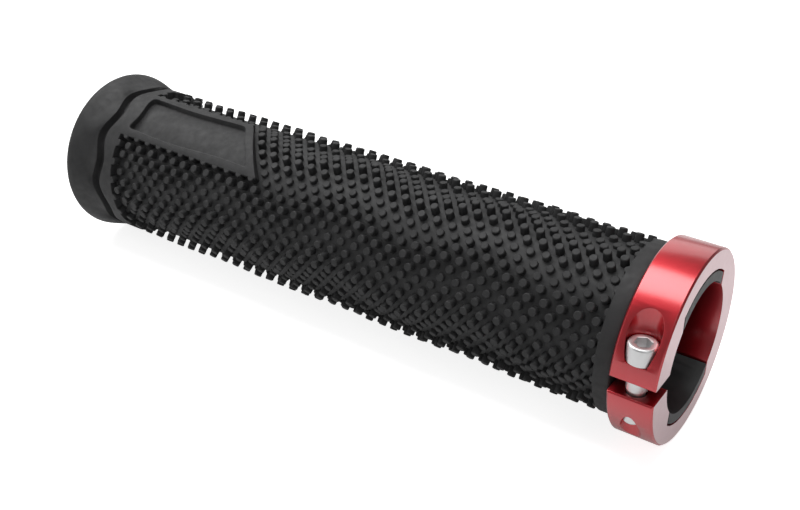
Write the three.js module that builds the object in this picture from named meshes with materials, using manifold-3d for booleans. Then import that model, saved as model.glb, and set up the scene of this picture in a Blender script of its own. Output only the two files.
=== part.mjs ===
// A lock-on grip for a bicycle handlebar: a rubber sleeve with a field of studs, moulded over a hard
// core, and a split ring that one screw closes round the bar. Millimetres. X runs along the bore from
// the closed end to the open one, Z is up, and the origin is on the bore's axis at the ring's face.
import * as THREE from 'three';
import { mergeVertices } from 'three/addons/utils/BufferGeometryUtils.js';
import Module from 'manifold-3d';

const wasm = await Module();
wasm.setup();
const { Manifold, Mesh } = wasm;

// Driving sizes.
const bar_diameter = 22.2;          // the handlebar that the grip slides over
const bar_clearance = 0.15;         // round the bar
const seat_gap = 0.3;               // between pieces that touch on the real grip
const grip_length = 130;

const ring_wall = 5.5;              // from the bore to the rim
const ring_width = 7.7;
const ring_chamfer = 0.3;
const split_width = 2.8;
const pocket_wall = 2.05;           // how deep the two key pockets reach into the ring's wall
const pocket_span = 78;             // degrees, along the pocket's outer wall
const pocket_splay = 40;            // degrees between a pocket's end and the radius there
const key_slack = 1.2;              // degrees left free at each end of a key

const screw_inset = 2.65;           // from the rim to the screw's axis
const head_diameter = 4.75;
const head_height = 3.2;
const shank_diameter = 3.5;
const thread_diameter = 2.9;        // of the shank in the threaded lug, plain at the thread's root
const socket_across = 2.5;          // hexagon, across the flats
const socket_depth = 1.8;
const seat_height = 4.46;           // from the middle of the split to under the head
const shank_length = 11.6;

const core_wall = 1.05;
const end_wall = 2;
const flange_step = 0.21;           // the flange is this much lower than the ring
const rubber_wall = 0.9;            // under the ground that the studs stand on
const neck_height = 1.45;           // this and the other heights are over that ground
const neck_end = -10.9;             // where the neck meets the studs
const stud_height = 1.7;            // between two hollows
const hollow_drop = 1.2;            // how far the tips fall in a hollow

const stud_pitch = 2.98;            // along the grip
const stud_rows = 48;               // round the grip, each row shifted by half a pitch
const first_stud = -12.25;
const stud_columns = 36;
const stud_corners = 3;             // faces round a stud
const stud_reach = 0.78;            // from a stud's middle to its corners
const stud_least = 1.3;             // a lower stud is only a bump

const hollow_count = 9;             // hollows round the grip
const hollow_angle = 164;           // degrees, middle of one of them
const hollow_swing = 8.5;           // degrees that a hollow snakes to each side
const hollow_wave = 28.35;          // length of one snake
const hollow_peak = -49.2;          // where the snake is farthest over

const groove_x = -121.95;
const groove_swing = 0.6;
const groove_lead = 3.5;            // degrees that its bends are ahead of the hollows
const groove_width = 2;
const groove_height = 0.5;          // of its floor
const band_height = 1.6;            // smooth band between the groove and the studs

const panel_angle = 112.5;          // degrees, middle of the name panel's frame
const panel_left = -116.95;
const panel_right = -89.4;
const panel_half = 4.5;
const panel_slant = 0.8;            // how far the right edge leans, per millimetre of height
const panel_height = 0.5;           // of its floor
const panel_corner = 0.8;
const frame_half = 6.05;
const frame_right = -87.3;
const frame_height = 1.65;

// Sizes that follow from them.
const bore_radius = bar_diameter / 2 + bar_clearance;
const core_radius = bore_radius + core_wall;
const ring_radius = bore_radius + ring_wall;
const screw_axis = ring_radius - screw_inset;
const flange_radius = ring_radius - flange_step;
const sleeve_bore = core_radius + seat_gap;
const ground_radius = sleeve_bore + rubber_wall;
const stud_tip = ground_radius + stud_height;
const neck_radius = ground_radius + neck_height;
const band_radius = ground_radius + band_height;
const groove_floor = ground_radius + groove_height;
const panel_floor = ground_radius + panel_height;
const frame_radius = ground_radius + frame_height;
const sleeve_end = -ring_width - seat_gap;
const end_x = -grip_length;
const pocket_radius = bore_radius + pocket_wall;
const key_radius = pocket_radius - seat_gap - 0.05;
const half_pitch = stud_pitch / 2;
const row_angle = 360 / stud_rows;
const counterbore = head_diameter + 2 * seat_gap;
const shank_hole = shank_diameter + 2 * seat_gap;
const thread_hole = thread_diameter + 2 * seat_gap;
const head_lift = 0.02;             // the head sits this far above its seat

const rad = THREE.MathUtils.degToRad;

// A solid of a closed three.js geometry, and the way back.
function solid(geometry) {
  let g = geometry.clone();
  g.deleteAttribute('normal');
  g.deleteAttribute('uv');
  g = mergeVertices(g, 1e-5);
  return new Manifold(new Mesh({
    numProp: 3,
    vertProperties: new Float32Array(g.attributes.position.array),
    triVerts: new Uint32Array(g.index.array),
  }));
}

function geometryOf(manifold) {
  const m = manifold.getMesh();
  const g = new THREE.BufferGeometry();
  g.setAttribute('position', new THREE.BufferAttribute(new Float32Array(m.vertProperties), 3));
  g.setIndex(new THREE.BufferAttribute(new Uint32Array(m.triVerts), 1));
  return g;
}

// A closed profile of [x, radius] pairs turned round the X axis.
function turned(profile, segments) {
  const points = profile.map(([x, r]) => new THREE.Vector2(r, x));
  points.push(points[0].clone());
  const g = new THREE.LatheGeometry(points, segments);
  g.rotateZ(-Math.PI / 2);
  const s = solid(g);
  return s.volume() > 0 ? s : solid(flipped(g));
}

function flipped(geometry) {
  const g = geometry.clone();
  const index = g.index.array;
  for (let k = 0; k < index.length; k += 3) [index[k], index[k + 1]] = [index[k + 1], index[k]];
  return g;
}

// An outline in the plane across the bore, [y, z] pairs, drawn out along X from x0 to x1.
function across(outline, x0, x1) {
  const shape = new THREE.Shape(outline.map(([y, z]) => new THREE.Vector2(y, z)));
  const g = new THREE.ExtrudeGeometry(shape, { depth: x1 - x0, bevelEnabled: false });
  g.applyMatrix4(new THREE.Matrix4().set(0, 0, 1, x0, 1, 0, 0, 0, 0, 1, 0, 0, 0, 0, 0, 1));
  return solid(g);
}

// A round rod that stands along Z.
function upright(diameter, x, y, z0, z1, sides) {
  const g = new THREE.CylinderGeometry(diameter / 2, diameter / 2, z1 - z0, sides);
  g.rotateX(Math.PI / 2);
  g.translate(x, y, (z0 + z1) / 2);
  return solid(g);
}

// Part of a ring round the X axis whose ends are splayed: narrow outside, wide at the bore.
function keyOutline(middle, inner, outer, slack) {
  const half = pocket_span / 2 - slack;
  const steps = 10;
  const outline = [];
  for (let k = 0; k <= steps; k++) {
    const a = rad(middle - half + (2 * half * k) / steps);
    outline.push([outer * Math.cos(a), outer * Math.sin(a)]);
  }
  const widen = ((outer - inner) * Math.tan(rad(pocket_splay))) / inner;
  const wide = half + THREE.MathUtils.radToDeg(widen);
  for (let k = steps; k >= 0; k--) {
    const a = rad(middle - wide + (2 * wide * k) / steps);
    outline.push([inner * Math.cos(a), inner * Math.sin(a)]);
  }
  return outline;
}

// The split ring: chamfered edges, two key pockets at top and bottom, a split at the side, and the
// screw's counterbore, clearance hole and threaded hole, which break out through the rim.
function makeRing() {
  const c = ring_chamfer;
  let ring = turned([
    [-ring_width, bore_radius], [0, bore_radius], [0, ring_radius - c], [-c, ring_radius],
    [-ring_width + c, ring_radius], [-ring_width, ring_radius - c],
  ], 96);
  for (const middle of [90, 270]) {
    const cut = keyOutline(middle, bore_radius - 1, pocket_radius, 0);
    ring = ring.subtract(across(cut, -ring_width - 1, 1));
  }
  const deep = ring_radius + 1;
  const h = split_width / 2;
  const mouth = 0.3;
  const split = [[-deep, h + mouth + 1], [-ring_radius + mouth, h], [0, h], [0, -h],
    [-ring_radius + mouth, -h], [-deep, -h - mouth - 1]];
  ring = ring.subtract(across(split, -ring_width - 1, 1));
  const x = -ring_width / 2;
  ring = ring.subtract(upright(counterbore, x, -screw_axis, seat_height, deep, 32));
  ring = ring.subtract(upright(shank_hole, x, -screw_axis, 0, seat_height + 1, 24));
  return ring.subtract(upright(thread_hole, x, -screw_axis, -deep, 0, 24));
}

// The cap screw, head up, with its hexagon socket.
function makeScrew() {
  const r = head_diameter / 2;
  const s = shank_diameter / 2;
  const t = thread_diameter / 2;
  const step = -seat_height - split_width / 4;
  const edge = 0.25;
  const profile = [
    [0, -shank_length], [t - 0.4, -shank_length], [t, -shank_length + 0.4], [t, step], [s, step],
    [s, 0], [r, 0], [r, head_height - edge], [r - edge, head_height], [0, head_height],
  ];
  const g = new THREE.LatheGeometry(profile.map(([a, b]) => new THREE.Vector2(a, b)), 32);
  g.rotateX(Math.PI / 2);
  const body = solid(g);
  const across_corners = socket_across / Math.cos(Math.PI / 6);
  const socket = new THREE.CylinderGeometry(across_corners / 2, across_corners / 2, socket_depth + 1, 6);
  socket.rotateX(Math.PI / 2);
  socket.translate(0, 0, head_height - socket_depth / 2 + 0.5);
  const screw = body.subtract(solid(socket));
  return screw.translate([-ring_width / 2, -screw_axis, seat_height + head_lift]);
}

// The hard core: a thin tube that ends short of the ring, and two keys that run through the ring.
function makeCore() {
  const closed = end_x + end_wall + seat_gap;
  let core = turned([
    [closed, bore_radius], [sleeve_end, bore_radius], [sleeve_end, core_radius], [closed, core_radius],
  ], 48);
  for (const middle of [90, 270]) {
    const key = keyOutline(middle, bore_radius, key_radius, key_slack);
    core = core.add(across(key, sleeve_end, 0));
    const root = keyOutline(middle, bore_radius, core_radius, key_slack);
    core = core.add(across(root, sleeve_end - 2, sleeve_end));
  }
  return core;
}

// How deep a place on the sleeve lies in a hollow of the stud field: 0 between two, 1 in the middle.
function hollowAt(x, degrees) {
  const middle = hollow_angle + hollow_swing * Math.cos((2 * Math.PI * (x - hollow_peak)) / hollow_wave);
  return (1 + Math.cos(rad(hollow_count * (degrees - middle)))) / 2;
}

// The groove snakes with the hollows that end near it.
function grooveAt(degrees) {
  return groove_x + groove_swing * (2 * hollowAt(groove_x, degrees - groove_lead) - 1);
}

// A skin of triangles that is laid loop by loop. A loop is a list of [vertex, angle in degrees], and
// stitching two loops goes round both by their angles, so they may have different counts.
function makeSkin() {
  const position = [];
  const index = [];
  const skin = {
    vertex(x, r, degrees) {
      position.push(x, r * Math.cos(rad(degrees)), r * Math.sin(rad(degrees)));
      return position.length / 3 - 1;
    },
    loop(count, place) {
      const loop = [];
      for (let k = 0; k < count; k++) {
        const degrees = (360 * k) / count;
        const [x, r] = place(degrees, k);
        loop.push([skin.vertex(x, r, degrees), degrees]);
      }
      return loop;
    },
    stitch(a, b) {
      let i = 0;
      let j = 0;
      const angle = (loop, k) => loop[k % loop.length][1] + 360 * Math.floor(k / loop.length);
      const id = (loop, k) => loop[k % loop.length][0];
      while (i < a.length || (b.length > 1 && j < b.length)) {
        const next_a = i < a.length ? angle(a, i + 1) : Infinity;
        const next_b = b.length > 1 && j < b.length ? angle(b, j + 1) : Infinity;
        if (next_a <= next_b) {
          index.push(id(a, i), id(a, i + 1), id(b, j));
          i++;
        } else {
          index.push(id(a, i), id(b, j + 1), id(b, j));
          j++;
        }
      }
      return b;
    },
    face(...ids) {
      for (let k = 1; k + 1 < ids.length; k++) index.push(ids[0], ids[k], ids[k + 1]);
    },
    solid() {
      return new Manifold(new Mesh({
        numProp: 3, vertProperties: new Float32Array(position), triVerts: new Uint32Array(index),
      }));
    },
  };
  return skin;
}

// The stud field. Studs and points of the ground take turns on a lattice of half pitches and rows, so
// every stud stands between four points of ground: two beside it in its row and one in each next row.
function layStuds(skin, columns) {
  const ground = [];
  const xOf = (i) => first_stud - i * half_pitch;
  for (let i = -1; i <= columns; i++) {
    ground.push([]);
    for (let j = 0; j < stud_rows; j++) {
      if ((i + j) % 2 === 0) continue;
      if ((i === -1 || i === columns) && j % 2) continue;
      const degrees = j * row_angle;
      ground[i + 1][j] = skin.vertex(xOf(i), ground_radius, degrees);
    }
  }
  const at = (i, j) => ground[i + 1][(j + stud_rows) % stud_rows];
  for (let i = 0; i < columns; i++) {
    for (let j = 0; j < stud_rows; j++) {
      if ((i + j) % 2) continue;
      const x = xOf(i);
      const degrees = j * row_angle;
      const tip = stud_tip - hollow_drop * hollowAt(x, degrees);
      const corners = tip - ground_radius > stud_least ? stud_corners : 1;
      const top = [];
      for (let k = 0; k < corners; k++) {
        const turn = (360 * (k + 0.3)) / corners;
        const reach = corners > 1 ? stud_reach : 0;
        const along = reach * Math.sin(rad(turn));
        const round = THREE.MathUtils.radToDeg((reach * Math.cos(rad(turn))) / tip);
        top.push([skin.vertex(x + along, tip, degrees + round), turn]);
      }
      const foot = [[at(i, j + 1), 0], [at(i - 1, j), 90], [at(i, j - 1), 180], [at(i + 1, j), 270]];
      skin.stitch(foot, top);
      skin.face(...top.map(([id]) => id));
    }
  }
  const border = (outer, inner) => Array.from({ length: stud_rows }, (_, j) => (
    [j % 2 ? at(inner, j) : at(outer, j), j * row_angle]));
  return [border(columns, columns - 1), border(-1, 0), xOf];
}

// The rubber sleeve: closed end, flared flange, snaking groove, smooth band, studs, neck and bore.
function makeSleeve() {
  const skin = makeSkin();
  const columns = 2 * stud_columns - 1;
  const [far, near, xOf] = layStuds(skin, columns);
  const fine = 6 * hollow_count;
  const rim_x = end_x + 1;
  const left = (a) => grooveAt(a) - groove_width / 2;
  const right = (a) => grooveAt(a) + groove_width / 2;
  const flare = (s) => (a) => {
    const x = rim_x + (left(a) - rim_x) * s;
    const bend = 0.6 + 1.4 * hollowAt(groove_x, a - groove_lead);
    return [x, band_radius + (flange_radius - band_radius) * (1 - s) ** bend];
  };
  const edge = (i, side) => (a, j) => [xOf(j % 2 ? i[1] : i[0]) + side, band_radius];

  let loop = [[skin.vertex(end_x, 0, 0), 0]];
  const first = skin.loop(stud_rows, () => [end_x, flange_radius - 1]);
  skin.stitch(first.slice().reverse().map(([id, a]) => [id, -a]), loop);
  loop = first;
  const places = [
    [stud_rows, () => [end_x + 0.3, flange_radius - 0.3]],
    [stud_rows, () => [rim_x, flange_radius]],
    [fine, flare(0.25)], [fine, flare(0.5)], [fine, flare(0.75)], [fine, flare(1)],
    [fine, (a) => [left(a) + 0.15, groove_floor]],
    [fine, (a) => [right(a) - 0.15, groove_floor]],
    [fine, (a) => [right(a), band_radius]],
    [stud_rows, edge([columns, columns - 1], -0.4)],
  ];
  for (const [count, place] of places) loop = skin.stitch(loop, skin.loop(count, place));
  skin.stitch(loop, far);
  loop = skin.stitch(near, skin.loop(stud_rows, edge([-1, 0], 0.4)));
  const inner_end = end_x + end_wall;
  const rest = [
    [stud_rows, () => [neck_end + 0.6, neck_radius]],
    [stud_rows, () => [sleeve_end - 0.4, neck_radius]],
    [stud_rows, () => [sleeve_end, neck_radius - 0.4]],
    [stud_rows, () => [sleeve_end, sleeve_bore]],
    [stud_rows, () => [inner_end, sleeve_bore]],
  ];
  for (const [count, place] of rest) loop = skin.stitch(loop, skin.loop(count, place));
  skin.stitch(loop, [[skin.vertex(inner_end, 0, 0), 0]]);

  // The name panel's frame covers the studs, and its panel is sunk and bare.
  const near_end = frame_right + frame_half + 1;
  const ring = (inner, outer) => turned([
    [panel_left - 2, inner], [near_end, inner], [near_end, outer], [panel_left - 2, outer],
  ], 48);
  const frame = prism(panel_left - 1.2, frame_right, frame_half, 0.5);
  const panel = prism(panel_left, panel_right, panel_half, panel_corner);
  return skin.solid()
    .add(frame.intersect(ring(sleeve_bore + 0.3, frame_radius)))
    .subtract(panel.intersect(ring(panel_floor, flange_radius)));
}

// An upright prism over the panel's leaning outline, turned to stand where the panel is.
function prism(left, right, half, corner) {
  const shape = new THREE.Shape();
  const lean = panel_slant * half;
  const points = [[left, -half], [right - lean, -half], [right + lean, half], [left, half]];
  points.forEach(([x, y], k) => {
    const [px, py] = points[(k + 3) % 4];
    const [nx, ny] = points[(k + 1) % 4];
    const before = new THREE.Vector2(px - x, py - y).normalize().multiplyScalar(corner);
    const after = new THREE.Vector2(nx - x, ny - y).normalize().multiplyScalar(corner);
    if (k) shape.lineTo(x + before.x, y + before.y); else shape.moveTo(x + before.x, y + before.y);
    shape.quadraticCurveTo(x, y, x + after.x, y + after.y);
  });
  const g = new THREE.ExtrudeGeometry(shape, { depth: 2 * ring_radius, bevelEnabled: false, curveSegments: 3 });
  g.rotateX(rad(panel_angle - 90));
  return solid(g);
}

const colours = {
  rubber_sleeve: [0x2b2c2e, 0.85, 0], core_sleeve: [0x4a4b4d, 0.55, 0],
  clamp_ring: [0xb5202c, 0.35, 0.9], clamp_screw: [0xc9cacc, 0.3, 1],
};
const solids = {
  rubber_sleeve: makeSleeve(), core_sleeve: makeCore(), clamp_ring: makeRing(), clamp_screw: makeScrew(),
};

const grip = new THREE.Group();
grip.name = 'handlebar_grip';
for (const [name, piece] of Object.entries(solids)) {
  const [color, roughness, metalness] = colours[name];
  const material = new THREE.MeshStandardMaterial({ color, roughness, metalness });
  const mesh = new THREE.Mesh(geometryOf(piece), material);
  mesh.name = name;
  grip.add(mesh);
}

export default grip;
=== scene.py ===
from math import atan2, cos, degrees, pi, radians, sin

import bmesh
import bpy
from mathutils import Matrix, Vector


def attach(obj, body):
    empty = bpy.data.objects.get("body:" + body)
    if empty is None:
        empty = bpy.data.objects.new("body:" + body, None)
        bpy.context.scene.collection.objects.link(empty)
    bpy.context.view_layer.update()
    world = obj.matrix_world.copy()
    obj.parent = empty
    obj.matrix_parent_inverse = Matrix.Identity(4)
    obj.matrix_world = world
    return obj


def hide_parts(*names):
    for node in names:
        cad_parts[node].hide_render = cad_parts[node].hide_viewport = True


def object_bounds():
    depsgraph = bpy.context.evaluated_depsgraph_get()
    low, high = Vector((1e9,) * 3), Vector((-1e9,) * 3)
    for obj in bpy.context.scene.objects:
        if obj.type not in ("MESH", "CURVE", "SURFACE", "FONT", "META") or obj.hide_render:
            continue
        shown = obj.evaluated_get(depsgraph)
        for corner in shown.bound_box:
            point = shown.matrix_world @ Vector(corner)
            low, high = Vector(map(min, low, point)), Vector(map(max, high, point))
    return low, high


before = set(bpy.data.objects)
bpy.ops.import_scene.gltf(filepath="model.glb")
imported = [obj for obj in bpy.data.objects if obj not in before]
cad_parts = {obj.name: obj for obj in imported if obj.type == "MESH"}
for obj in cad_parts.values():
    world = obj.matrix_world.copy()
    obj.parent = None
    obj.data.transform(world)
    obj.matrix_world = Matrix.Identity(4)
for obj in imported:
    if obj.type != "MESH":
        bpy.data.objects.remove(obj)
cad_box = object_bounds()

# The rubber sleeve is one moulding over the hard core: a closed end with a flared flange, a snaking
# groove, a smooth band, a field of round studs that dips in nine snaking hollows, and a plain neck.
# A framed panel with a plain floor is sunk into its top. The rubber is black and matt.
end_x, sleeve_end, hub_radius = -130.0, -8.0, 8
bore_radius, bore_end = 12.6, -128.0
flange_radius, flange_rim, flank_foot = 16.54, 1.0, 0.05
flank_power, flank_full, flank_scoop = 1.5, 0.6, 1.4
neck_radius, neck_end = 14.95, -10.95
band_radius, band_end, band_gap = 15.1, -118.1, 0.15
edge_round, foot_round, foot_reach, end_round = 0.08, 0.12, 0.3, 0.4
ground_radius, ground_start, ground_stop, ground_step = 13.5, -112, -12, 8
stud_tip, hollow_drop = 15.2, 1.2
stud_pitch, stud_rows, first_stud = 2.98, 48, -12.25
stud_sides, stud_width, stud_foot, stud_height, stud_edge = 14, 1.44, 1.6, 2.2, 0.12
sunk_margin, buried_inset, flush = 0.5, 0.7, 0.01
hollow_count, hollow_angle, hollow_swing, hollow_wave, hollow_peak = 9, 164, 8.5, 28.35, -49.2
groove_x, groove_swing, groove_half, groove_floor, groove_lead = -121.95, 0.6, 1.0, 13.7, 3.5
panel_angle, panel_left, panel_right, panel_half = 112.5, -116.95, -89.4, 4.5
panel_depth, panel_corner, panel_snake, floor_round, lip_round = 1.15, 0.8, 0.5, 0.1, 0.14
snake_left, snake_right, strip_round, strip_along = 2.6, 8, 0.75, 1.4
dive_start, dive_length, dive_depth = -118.2, 1.6, 0.12
frame_radius, frame_left, frame_right, frame_half, frame_lean = 15.15, -119.9, -87.3, 6.05, 0.8
frame_corner, frame_foot = 0.7, 1.85
round_steps = 4 * stud_rows


# How deep a place lies in a hollow: 1 in its middle and 0 between two of them.
def hollow(x, angle):
    middle = hollow_angle + hollow_swing * cos(2 * pi * (x - hollow_peak) / hollow_wave)
    return (1 + cos(radians(hollow_count * (angle - middle)))) / 2


def groove(angle):
    return groove_x + groove_swing * (2 * hollow(groove_x, angle - groove_lead) - 1)


def fixed(x, r):
    return lambda angle: (x, r)


def beside_groove(step, r):
    return lambda angle: (groove(angle) + step, r)


# The flank falls from the rim to the groove, scooped out where a hollow ends at it and full between.
def flank(share):
    def place(angle):
        x0, x1 = end_x + flange_rim, groove(angle) - groove_half - band_gap
        bend = flank_full + flank_scoop * hollow(groove_x, angle - groove_lead)
        fall = (1 - share ** flank_power) ** bend
        low = band_radius + flank_foot
        return x0 + (x1 - x0) * share, low + (flange_radius - low) * fall
    return place


def on_band(share):
    def place(angle):
        x0 = groove(angle) + groove_half + band_gap
        return x0 + (band_end - x0) * share, band_radius
    return place


# A station is a loop round the grip. It gives the place along X and the radius at any angle.
stations = [fixed(end_x, 0), fixed(end_x, hub_radius)]
for k in range(6):
    turn = pi / 2 * k / 5
    r = flange_radius - flange_rim * (1 - sin(turn))
    stations.append(fixed(end_x + flange_rim * (1 - cos(turn)), r))
stations += [flank(k / 16) for k in range(1, 17)]
# Shares of the groove's half width, and the radius there.
for step, r in ((-1.02, band_radius), (-1, band_radius - 0.1), (-0.94, groove_floor + 0.3),
                (-0.78, groove_floor), (0, groove_floor - 0.05), (0.78, groove_floor),
                (0.94, groove_floor + 0.3), (1, band_radius - 0.1), (1.03, band_radius - 0.02)):
    stations.append(beside_groove(step * groove_half, r))
stations += [on_band(k / 4) for k in range(4)]
stations += [fixed(band_end - edge_round, band_radius), fixed(band_end, band_radius - edge_round)]
stations += [fixed(band_end + foot_round, ground_radius + foot_round)]
stations += [fixed(band_end + foot_reach, ground_radius)]
stations += [fixed(x, ground_radius) for x in range(ground_start, ground_stop, ground_step)]
stations += [fixed(neck_end - foot_reach, ground_radius)]
stations += [fixed(neck_end - foot_round, ground_radius + foot_round)]
stations += [fixed(neck_end, neck_radius - edge_round), fixed(neck_end + edge_round, neck_radius)]
stations += [fixed(-10, neck_radius), fixed(-9, neck_radius)]
for k in range(4):
    turn = pi / 2 * k / 3
    r = neck_radius - end_round * (1 - cos(turn))
    stations.append(fixed(sleeve_end - end_round * (1 - sin(turn)), r))
stations += [fixed(sleeve_end, bore_radius), fixed(-60, bore_radius), fixed(bore_end, bore_radius)]
stations += [fixed(bore_end, 0)]

sleeve = bmesh.new()
number = sleeve.verts.layers.int.new("station")
line = []
for k, place in enumerate(stations):
    x, r = place(0)
    vert = sleeve.verts.new((x, r, 0))
    vert[number] = k
    line.append(vert)
edges = [sleeve.edges.new(pair) for pair in zip(line, line[1:])]
bmesh.ops.spin(sleeve, geom=line + edges, cent=(0, 0, 0), axis=(1, 0, 0), dvec=(0, 0, 0),
               angle=2 * pi, steps=round_steps, use_merge=True, use_duplicate=False)
for vert in sleeve.verts:
    angle = degrees(atan2(vert.co.z, vert.co.y))
    x, r = stations[vert[number]](angle)
    vert.co = (x, r * cos(radians(angle)), r * sin(radians(angle)))
bmesh.ops.remove_doubles(sleeve, verts=sleeve.verts, dist=1e-4)
bmesh.ops.recalc_face_normals(sleeve, faces=sleeve.faces)

# Studs are laid as one row along the grip and copied round it, and their tops are lowered where they
# stand in a hollow. Those half sunk in the neck, the band and the panel's frame end level with it.
row_angle = 360 / stud_rows
studs = bmesh.new()


def pick(geometry, kind):
    return [item for item in geometry if isinstance(item, kind)]


for odd, count in ((0, 36), (1, 37)):
    made = bmesh.ops.create_cone(studs, cap_ends=True, cap_tris=False, segments=stud_sides,
                                 radius1=stud_foot / 2, radius2=stud_width / 2, depth=stud_height)
    top = max(vert.co.z for vert in made["verts"])
    rim = [edge for edge in {e for v in made["verts"] for e in v.link_edges}
           if all(abs(vert.co.z - top) < 1e-4 for vert in edge.verts)]
    before = set(studs.verts) - set(made["verts"])
    bmesh.ops.bevel(studs, geom=rim, offset=stud_edge, offset_type="OFFSET", segments=1, profile=0.5,
                    affect="EDGES", material=-1)
    first = [vert for vert in studs.verts if vert not in before]
    turn = radians(odd * row_angle)
    upright = Matrix.Rotation(turn, 4, "X") @ Matrix.Rotation(-pi / 2, 4, "X")
    bmesh.ops.transform(studs, matrix=upright, verts=first)
    outward = Vector((0, cos(turn), sin(turn)))
    start = Vector((first_stud + odd * stud_pitch / 2, 0, 0))
    bmesh.ops.translate(studs, verts=first, vec=start + outward * (stud_tip - stud_height / 2))
    row = list({face for vert in first for face in vert.link_faces})
    one = list(row)
    for k in range(1, count):
        copy = bmesh.ops.duplicate(studs, geom=one)["geom"]
        bmesh.ops.translate(studs, verts=pick(copy, bmesh.types.BMVert), vec=(-stud_pitch * k, 0, 0))
        row += pick(copy, bmesh.types.BMFace)
    bmesh.ops.spin(studs, geom=row, cent=(0, 0, 0), axis=(1, 0, 0), dvec=(0, 0, 0),
                   angle=2 * pi * (stud_rows - 2) / stud_rows, steps=stud_rows // 2 - 1,
                   use_merge=False, use_duplicate=True)
sunk = []
for vert in studs.verts:
    row = round(degrees(atan2(vert.co.z, vert.co.y)) / row_angle)
    start = first_stud + (stud_pitch / 2 if row % 2 else 0)
    x = start - stud_pitch * round((start - vert.co.x) / stud_pitch)
    over = radians((row * row_angle) % 360 - panel_angle) * frame_radius
    beside_frame = abs(over) < frame_half and x < frame_right + frame_lean * over + sunk_margin
    top = stud_tip - hollow_drop * hollow(x, row * row_angle)
    if x > neck_end:
        top = neck_radius - flush
    elif x < band_end + sunk_margin:
        top = band_radius - flush
    elif beside_frame:
        top = frame_radius - 2 * flush
    outward = Vector((0, cos(radians(row * row_angle)), sin(radians(row * row_angle))))
    if vert.co.dot(outward) > ground_radius:
        vert.co += outward * (top - stud_tip)
    if beside_frame and abs(over) < frame_half - buried_inset:
        sunk.append(vert)
bmesh.ops.delete(studs, geom=sunk, context="VERTS")

# The panel and its frame are shaped flat, with Y round the grip and Z as the height over the frame, and
# then wrapped round the sleeve. The panel's long sides sway and its left end snakes with the hollows, and
# the frame's left side dives under the smooth band.
panel = bmesh.new()


def outline(left, right, half, corner):
    lean = frame_lean * half
    shape = [panel.verts.new((x, y, 0))
             for x, y in ((left, -half), (right - lean, -half), (right + lean, half), (left, half))]
    panel.faces.new(shape)
    bmesh.ops.bevel(panel, geom=shape, offset=corner, offset_type="OFFSET", segments=4, profile=0.5,
                    affect="VERTICES", material=-1)


outline(frame_left, frame_right, frame_half, frame_corner)
outer = list(panel.edges)
outline(panel_left, panel_right, panel_half, panel_corner)
inner = [edge for edge in panel.edges if edge not in outer]
bmesh.ops.delete(panel, geom=list(panel.faces), context="FACES_ONLY")
bmesh.ops.bridge_loops(panel, edges=outer + inner)
foot = bmesh.ops.extrude_edge_only(panel, edges=outer)["geom"]
bmesh.ops.translate(panel, verts=pick(foot, bmesh.types.BMVert), vec=(0, 0, -frame_foot))
bmesh.ops.edgeloop_fill(panel, edges=pick(foot, bmesh.types.BMEdge))
floor = bmesh.ops.extrude_edge_only(panel, edges=inner)["geom"]
bmesh.ops.translate(panel, verts=pick(floor, bmesh.types.BMVert), vec=(0, 0, -panel_depth))
floor = pick(floor, bmesh.types.BMEdge)
bmesh.ops.edgeloop_fill(panel, edges=floor)
bmesh.ops.recalc_face_normals(panel, faces=panel.faces)
bmesh.ops.bevel(panel, geom=floor, offset=floor_round, offset_type="OFFSET", segments=3, profile=0.5,
                affect="EDGES", material=-1)
lips = [edge for edge in panel.edges if all(abs(vert.co.z) < 1e-5 for vert in edge.verts)
        and any(abs(face.normal.z) < 0.5 for face in edge.link_faces)]
bmesh.ops.bevel(panel, geom=lips, offset=lip_round, offset_type="OFFSET", segments=3, profile=0.5,
                affect="EDGES", material=-1)
# Cut into strips both ways, so that the flat shape can bend.
cuts = [(Vector((0, strip_round * k, 0)), Vector((0, 1, 0))) for k in range(-8, 9)]
cuts += [(Vector((frame_left + strip_along * k, 0, 0)), Vector((1, 0, 0))) for k in range(1, 28)]
for place, across in cuts:
    bmesh.ops.bisect_plane(panel, geom=panel.verts[:] + panel.edges[:] + panel.faces[:], plane_co=place,
                           plane_no=across, dist=1e-5)
for vert in panel.verts:
    x, over, height = vert.co
    angle = panel_angle + degrees(over / frame_radius)
    reach = snake_left if x < panel_left else snake_right
    near = max(0, 1 - abs(x - panel_left) / reach)
    x += panel_snake * (2 * hollow(panel_left, angle) - 1) * near
    steady = min(1, max(0, (frame_half - abs(over)) / (frame_half - panel_half)))
    angle += steady * cos(2 * pi * (x - hollow_peak) / hollow_wave)
    dive = max(0, min(1, (dive_start - x) / dive_length))
    r = frame_radius + height - dive_depth * dive * dive * (3 - 2 * dive)
    vert.co = (x, r * cos(radians(angle)), r * sin(radians(angle)))
bmesh.ops.remove_doubles(panel, verts=panel.verts, dist=1e-4)
bmesh.ops.recalc_face_normals(panel, faces=panel.faces)


# Brings a finished shape to metres and makes it a piece, smooth where its faces meet at less than the
# crease angle and crisp elsewhere.
crease_angle = 32


def finish_piece(bm, name):
    mesh = bpy.data.meshes.new(name)
    bm.to_mesh(mesh)
    bm.free()
    mesh.transform(Matrix.Scale(0.001, 4))
    mesh.shade_smooth()
    mesh.set_sharp_from_angle(angle=radians(crease_angle))
    piece = bpy.data.objects.new(name, mesh)
    bpy.context.scene.collection.objects.link(piece)
    return piece


for part in (studs, panel):
    mesh = bpy.data.meshes.new("part")
    part.to_mesh(mesh)
    part.free()
    sleeve.from_mesh(mesh)
    bpy.data.meshes.remove(mesh)
sleeve_piece = finish_piece(sleeve, "studded_sleeve")


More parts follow.
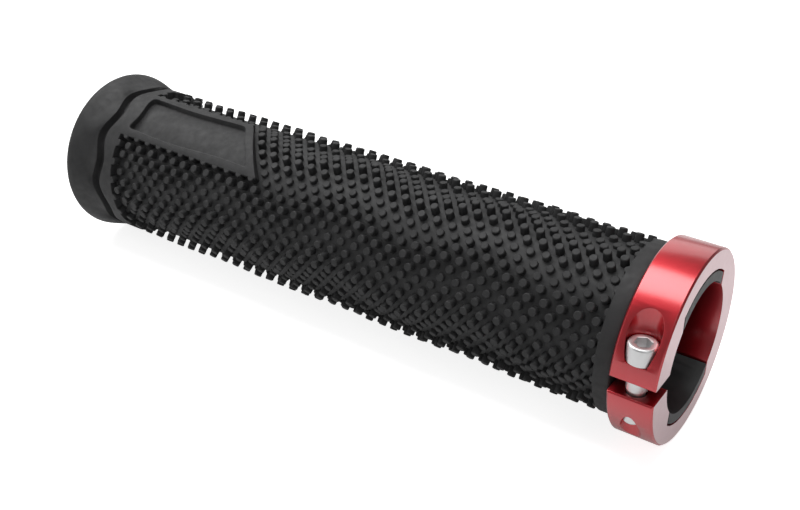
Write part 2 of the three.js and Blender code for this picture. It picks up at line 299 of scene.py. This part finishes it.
# A noise pattern on the piece's own coordinates, and a ramp that turns it into a range of values.
def pattern(material, scale, detail, low, high):
    nodes, links = material.node_tree.nodes, material.node_tree.links
    place = nodes.new("ShaderNodeTexCoord")
    noise = nodes.new("ShaderNodeTexNoise")
    noise.inputs["Scale"].default_value = scale
    noise.inputs["Detail"].default_value = detail
    spread = nodes.new("ShaderNodeMapRange")
    spread.inputs["From Min"].default_value = 0.3
    spread.inputs["From Max"].default_value = 0.7
    spread.inputs["To Min"].default_value = low
    spread.inputs["To Max"].default_value = high
    links.new(place.outputs["Object"], noise.inputs["Vector"])
    links.new(noise.outputs["Fac"], spread.inputs["Value"])
    return spread.outputs["Result"]


# A material with a colour that drifts between two shades, a roughness that drifts, and a fine bump. The
# grain holds the scales of the three patterns, then the bump's strength and height.
def finish_of(name, dark, light, rough, grain, metal=0.0):
    shade_scale, rough_scale, bump_scale, bump_strength, bump_height = grain
    material = bpy.data.materials.new(name)
    material.use_nodes = True
    nodes, links = material.node_tree.nodes, material.node_tree.links
    shader = nodes["Principled BSDF"]
    shader.inputs["Metallic"].default_value = metal
    shade = nodes.new("ShaderNodeMix")
    shade.data_type = "RGBA"
    shade.inputs["A"].default_value = (*dark, 1)
    shade.inputs["B"].default_value = (*light, 1)
    links.new(pattern(material, shade_scale, 4, 0, 1), shade.inputs["Factor"])
    links.new(shade.outputs["Result"], shader.inputs["Base Color"])
    links.new(pattern(material, rough_scale, 3, *rough), shader.inputs["Roughness"])
    bump = nodes.new("ShaderNodeBump")
    bump.inputs["Strength"].default_value = bump_strength
    bump.inputs["Distance"].default_value = bump_height
    links.new(pattern(material, bump_scale, 2, 0, 1), bump.inputs["Height"])
    links.new(bump.outputs["Normal"], shader.inputs["Normal"])
    return material


rubber = finish_of("black_rubber", (0.014, 0.014, 0.0145), (0.02, 0.02, 0.021), (0.58, 0.72),
                   (260, 700, 9000, 0.25, 0.00003))
sleeve_piece.data.materials.append(rubber)
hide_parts("rubber_sleeve")
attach(sleeve_piece, "root")


# The hard core is a thin dark tube of moulded plastic under the rubber. Two keys on its end run through
# the ring's pockets and end flush with the ring's face. It is a copy of the solid with broken edges, and
# its flat end faces are shaded flat.
def refined(node, name, broken):
    flat, corner_angle = 0.999, 28
    bm = bmesh.new()
    bm.from_mesh(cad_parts[node].data)
    bmesh.ops.scale(bm, vec=(1000, 1000, 1000), verts=bm.verts)
    bmesh.ops.remove_doubles(bm, verts=bm.verts, dist=1e-3)
    bmesh.ops.dissolve_limit(bm, angle_limit=radians(1), verts=bm.verts, edges=bm.edges,
                             delimit={"NORMAL"})
    corner = [edge for edge in bm.edges
              if len(edge.link_faces) == 2 and edge.calc_face_angle() > radians(corner_angle)]
    bmesh.ops.bevel(bm, geom=corner, offset=broken, offset_type="OFFSET", segments=2, profile=0.5,
                    affect="EDGES", clamp_overlap=True, material=-1)
    piece = finish_piece(bm, name)
    for face in piece.data.polygons:
        face.use_smooth = abs(face.normal.x) < flat
    return piece


core_piece = refined("core_sleeve", "hard_core", 0.08)
plastic = finish_of("dark_plastic", (0.02, 0.021, 0.022), (0.028, 0.029, 0.03), (0.42, 0.52),
                    (120, 500, 7000, 0.15, 0.00002))
core_piece.data.materials.append(plastic)
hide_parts("core_sleeve")
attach(core_piece, "root")

# The clamping ring is turned and milled from aluminium and anodised red. Its split closes round the bar
# when the screw is tightened. Its edges are broken, so they catch the light, and its outer face is painted
# paler, a painted reflection of the bright floor.
ring_piece = refined("clamp_ring", "split_ring", 0.07)
anodised = finish_of("red_anodised", (0.52, 0.012, 0.022), (0.57, 0.015, 0.027), (0.4, 0.46),
                     (60, 800, 12000, 0.08, 0.00001), metal=1.0)
shader = anodised.node_tree.nodes["Principled BSDF"]
shader.inputs["Coat Weight"].default_value = 1
shader.inputs["Coat Roughness"].default_value = 0.2
shader.inputs["Coat IOR"].default_value = 1.8
ring_piece.data.materials.append(anodised)
# A paler copy of the red metal for the outer face: a painted reflection of the bright floor.
painted_reflection_face = finish_of("painted_reflection_face", (0.74, 0.56, 0.58), (0.8, 0.62, 0.64), (0.32, 0.4),
                        (60, 800, 12000, 0.08, 0.00001), metal=1.0)
ring_piece.data.materials.append(painted_reflection_face)
# The ring's front faces, facing +X, get the painted reflection.
for face in ring_piece.data.polygons:
    if face.normal.x > 0.9 and face.center.x > -0.0001:
        face.material_index = 1
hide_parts("clamp_ring")
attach(ring_piece, "root")

# The cap screw draws the split together. It is turned from steel, with a hexagon socket pressed into a
# head with a rounded rim, and a plain shank where it crosses the split.
screw_x, screw_y, seat = -3.85, -14.1, 4.48
head_radius, head_height, shank_radius, thread_radius, shank_length = 2.375, 3.2, 1.75, 1.45, 11.6
socket_across, socket_depth, socket_edge, mouth_radius, face_radius = 2.5, 1.8, 0.1, 1.75, 1.95
head_round, head_foot, plain_length, tip, screw_steps = 0.4, 0.12, 5.16, 0.3, 48
screw = bmesh.new()
profile = [(mouth_radius, head_height), (face_radius, head_height)]
profile += [(head_radius - head_round * (1 - sin(a)), head_height - head_round * (1 - cos(a)))
            for a in (radians(22.5 * k) for k in range(5))]
profile += [(head_radius, head_foot), (head_radius - head_foot, 0), (shank_radius, 0)]
profile += [(shank_radius, -plain_length), (thread_radius, -plain_length)]
profile += [(thread_radius, tip - shank_length), (thread_radius - tip, -shank_length), (0, -shank_length)]
line = [screw.verts.new((r, 0, z)) for r, z in profile]
edges = [screw.edges.new(pair) for pair in zip(line, line[1:])]
bmesh.ops.spin(screw, geom=line + edges, cent=(0, 0, 0), axis=(0, 0, 1), dvec=(0, 0, 0), angle=2 * pi,
               steps=screw_steps, use_merge=True, use_duplicate=False)
bmesh.ops.remove_doubles(screw, verts=screw.verts, dist=1e-4)
rim = [edge for edge in screw.edges if edge.is_boundary]
hexagon = bmesh.ops.create_circle(screw, cap_ends=False, segments=6,
                                  radius=socket_across / 2 / cos(pi / 6))
bmesh.ops.translate(screw, verts=hexagon["verts"], vec=(0, 0, head_height))
sides = list({edge for vert in hexagon["verts"] for edge in vert.link_edges})
bmesh.ops.subdivide_edges(screw, edges=sides, cuts=screw_steps // 6 - 1)
socket = [edge for edge in screw.edges if edge.is_wire]
bmesh.ops.bridge_loops(screw, edges=rim + socket)
wall = bmesh.ops.extrude_edge_only(screw, edges=socket)["geom"]
bmesh.ops.translate(screw, verts=pick(wall, bmesh.types.BMVert), vec=(0, 0, -socket_depth))
bmesh.ops.edgeloop_fill(screw, edges=pick(wall, bmesh.types.BMEdge))
bmesh.ops.bevel(screw, geom=socket, offset=socket_edge, offset_type="OFFSET", segments=2, profile=0.5,
                affect="EDGES", material=-1)
bmesh.ops.recalc_face_normals(screw, faces=screw.faces)
bmesh.ops.translate(screw, verts=screw.verts, vec=(screw_x, screw_y, seat))
screw_piece = finish_piece(screw, "cap_screw")
steel = finish_of("screw_steel", (0.7, 0.7, 0.705), (0.76, 0.76, 0.76), (0.4, 0.46),
                  (200, 900, 9000, 0.1, 0.00001), metal=1.0)
screw_piece.data.materials.append(steel)
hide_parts("clamp_screw")
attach(screw_piece, "root")

# The studio: a plain white floor that keeps the grip's shadow, a soft box over the grip, and weaker ones
# behind it, before its open end and at its closed end. The floor and the world are white to the camera,
# and the floor glows less in what the metal mirrors. The camera stands before the open end, above the grip.
ground_z, floor_half = cad_box[0].z, 8
floor_seen, floor_mirrored, air_seen, air_light = 0.84, 0.24, 0.8, 0.2
floor_mesh = bpy.data.meshes.new("studio_floor")
bm = bmesh.new()
bmesh.ops.create_grid(bm, x_segments=1, y_segments=1, size=floor_half)
bmesh.ops.translate(bm, verts=bm.verts, vec=(0, 0, ground_z))
bm.to_mesh(floor_mesh)
bm.free()
floor_piece = bpy.data.objects.new("studio_floor", floor_mesh)
bpy.context.scene.collection.objects.link(floor_piece)
white = bpy.data.materials.new("studio_white")
white.use_nodes = True
nodes, links = white.node_tree.nodes, white.node_tree.links
shader = nodes["Principled BSDF"]
shader.inputs["Base Color"].default_value = (0.62, 0.62, 0.62, 1)
shader.inputs["Roughness"].default_value = 0.9
shader.inputs["Specular IOR Level"].default_value = 0.0
shader.inputs["Emission Color"].default_value = (1, 1, 1, 1)
path = nodes.new("ShaderNodeLightPath")
mirrored = nodes.new("ShaderNodeMath")
mirrored.operation = "MAXIMUM"
links.new(path.outputs["Is Glossy Ray"], mirrored.inputs[0])
links.new(path.outputs["Is Transmission Ray"], mirrored.inputs[1])
glow = nodes.new("ShaderNodeMath")
glow.operation = "MULTIPLY"
glow.inputs[1].default_value = floor_mirrored
links.new(mirrored.outputs[0], glow.inputs[0])
level = nodes.new("ShaderNodeMath")
level.operation = "MULTIPLY_ADD"
level.inputs[1].default_value = floor_seen
links.new(path.outputs["Is Camera Ray"], level.inputs[0])
links.new(glow.outputs[0], level.inputs[2])
links.new(level.outputs[0], shader.inputs["Emission Strength"])
floor_mesh.materials.append(white)

world = bpy.data.worlds.new("studio_air")
bpy.context.scene.world = world
world.use_nodes = True
nodes, links = world.node_tree.nodes, world.node_tree.links
nodes["Background"].inputs["Color"].default_value = (1, 1, 1, 1)
path = nodes.new("ShaderNodeLightPath")
level = nodes.new("ShaderNodeMath")
level.operation = "MULTIPLY_ADD"
level.inputs[1].default_value = air_seen
level.inputs[2].default_value = air_light
links.new(path.outputs["Is Camera Ray"], level.inputs[0])
links.new(level.outputs[0], nodes["Background"].inputs["Strength"])

middle = Vector((-0.06, 0, 0))


# A soft box aimed at the grip's middle, with its size in metres and its power in watts.
def soft_box(name, place, width, height, power):
    lamp = bpy.data.lights.new(name, "AREA")
    lamp.shape = "RECTANGLE"
    lamp.size, lamp.size_y = width, height
    lamp.energy = power
    stand = bpy.data.objects.new(name, lamp)
    stand.location = place
    stand.rotation_euler = (middle - Vector(place)).to_track_quat("-Z", "Y").to_euler()
    bpy.context.scene.collection.objects.link(stand)


soft_box("box_over", (-0.27, 0.02, 0.56), 0.36, 0.8, 4)
soft_box("box_front", (0.35, -0.25, 0.45), 0.3, 0.3, 0.45)
soft_box("box_back", (-0.45, 0.72, 0.38), 0.9, 0.5, 1.5)
soft_box("box_left", (-0.6, -0.3, 0.15), 0.3, 0.3, 0.6)

camera = bpy.data.cameras.new("photo_view")
camera.sensor_width = 36
camera.lens = 48.836
camera.clip_start = 0.005
stand = bpy.data.objects.new("photo_view", camera)
stand.location = (0.040583, -0.144279, 0.101025)
stand.rotation_euler = (radians(59.361), radians(-0.402), radians(34.420))
bpy.context.scene.collection.objects.link(stand)
bpy.context.scene.camera = stand
bpy.context.scene.view_settings.view_transform = "Standard"
